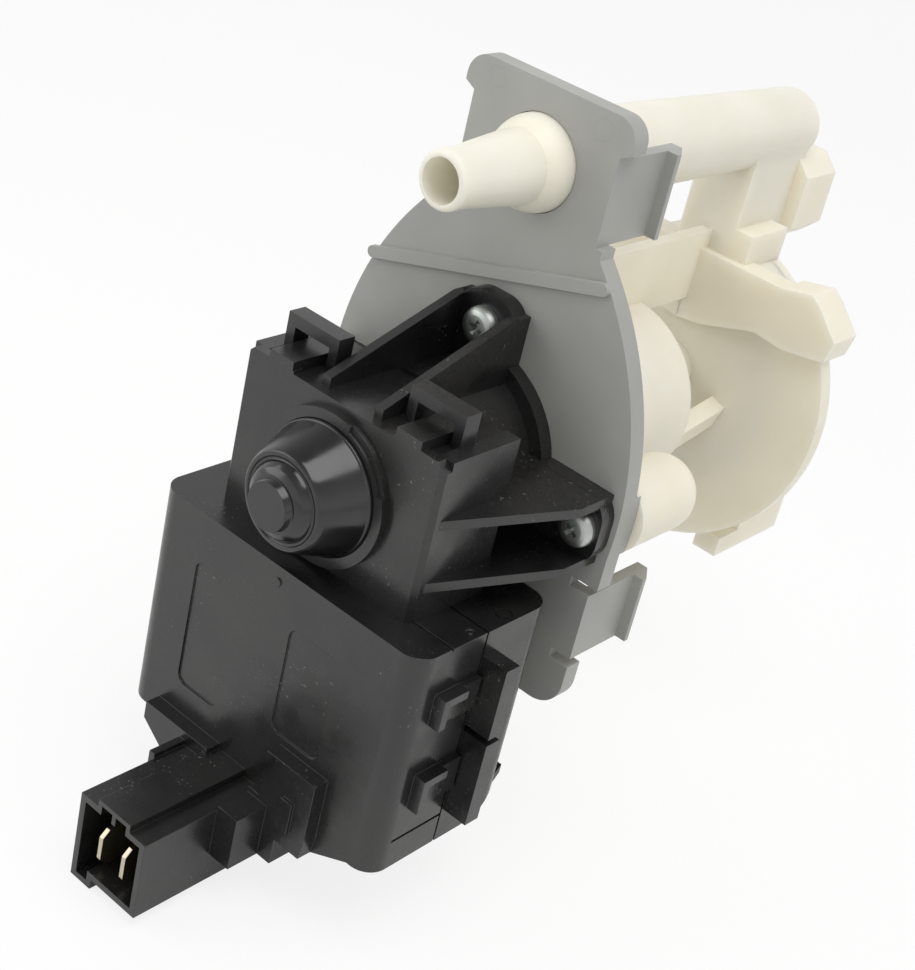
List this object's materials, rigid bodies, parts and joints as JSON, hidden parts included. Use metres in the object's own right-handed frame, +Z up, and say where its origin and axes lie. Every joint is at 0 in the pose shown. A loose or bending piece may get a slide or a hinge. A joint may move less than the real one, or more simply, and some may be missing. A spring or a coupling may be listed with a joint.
{
  "type": "dryer condensate pump",
  "caption": "Condensate pump for a tumble dryer: snap-in mounting plate with outlet nozzle, motor with coil box and plug socket in front, shaft and impeller chamber behind",
  "frame": {"origin": "on the shaft line, in the plane of the rear faces of the mounting plate's screw pads and spigot rings; the plate's outer rim, which seats on the sump, ends 1.2 mm in front of that plane", "axes": "+Y along the shaft from the motor to the suction inlet, +Z up from the shaft to the outlet nozzle, +X to the right seen from the motor's nose"},
  "size_m": [0.0613, 0.1346, 0.1196],
  "materials": {
    "natural_pp": "satin, slightly milky",
    "grey_pp": "satin",
    "black_pbt": "satin",
    "black_gloss": "glossy",
    "zinc_steel": "zinc plated",
    "tin_brass": "tinned",
    "lamination_steel": "sheared edges",
    "white_pa": "satin",
    "copper_wire": "enamelled",
    "ferrite": "ground",
    "stainless": "polished",
    "sintered_bronze": "sintered",
    "nbr_rubber": "matte"
  },
  "bodies": {
    "housing": {"pump_body": "natural_pp", "volute_cover": "natural_pp", "mounting_plate": "grey_pp", "motor_housing": "black_pbt", "front_cap": "black_pbt", "rotor_can": "black_gloss", "coil_front_shell": "black_pbt", "coil_rear_shell": "black_pbt", "mounting_screws": "zinc_steel", "terminal_tab_left": "tin_brass", "terminal_tab_right": "tin_brass", "stator_core": "lamination_steel", "bobbin_left": "white_pa", "bobbin_right": "white_pa", "winding_left": "copper_wire", "winding_right": "copper_wire", "front_bearing": "sintered_bronze", "rear_bearing": "sintered_bronze", "lower_bush": "sintered_bronze", "front_bearing_holder": "nbr_rubber", "rear_bearing_holder": "nbr_rubber", "motor_gasket": "nbr_rubber", "shaft_seal": "nbr_rubber", "cover_seal": "nbr_rubber", "bearing_carrier": "black_pbt", "front_thrust_washer": "stainless", "rear_thrust_washer": "stainless"},
    "shaft": {"rotor_shaft": "stainless", "drive_dog": "white_pa", "impeller": "white_pa"},
    "magnet": {"rotor_magnet": "ferrite", "magnet_hub": "white_pa"}
  },
  "joints": [
    {"name": "shaft_spin", "type": "hinge", "parent": "housing", "child": "shaft", "pos_m": [0, 0, 0], "axis": [0, 1, 0], "continuous": true},
    {"name": "magnet_swing", "type": "hinge", "parent": "shaft", "child": "magnet", "pos_m": [0, 0, 0], "axis": [0, 1, 0], "range_deg": [0, 186]}
  ]
}
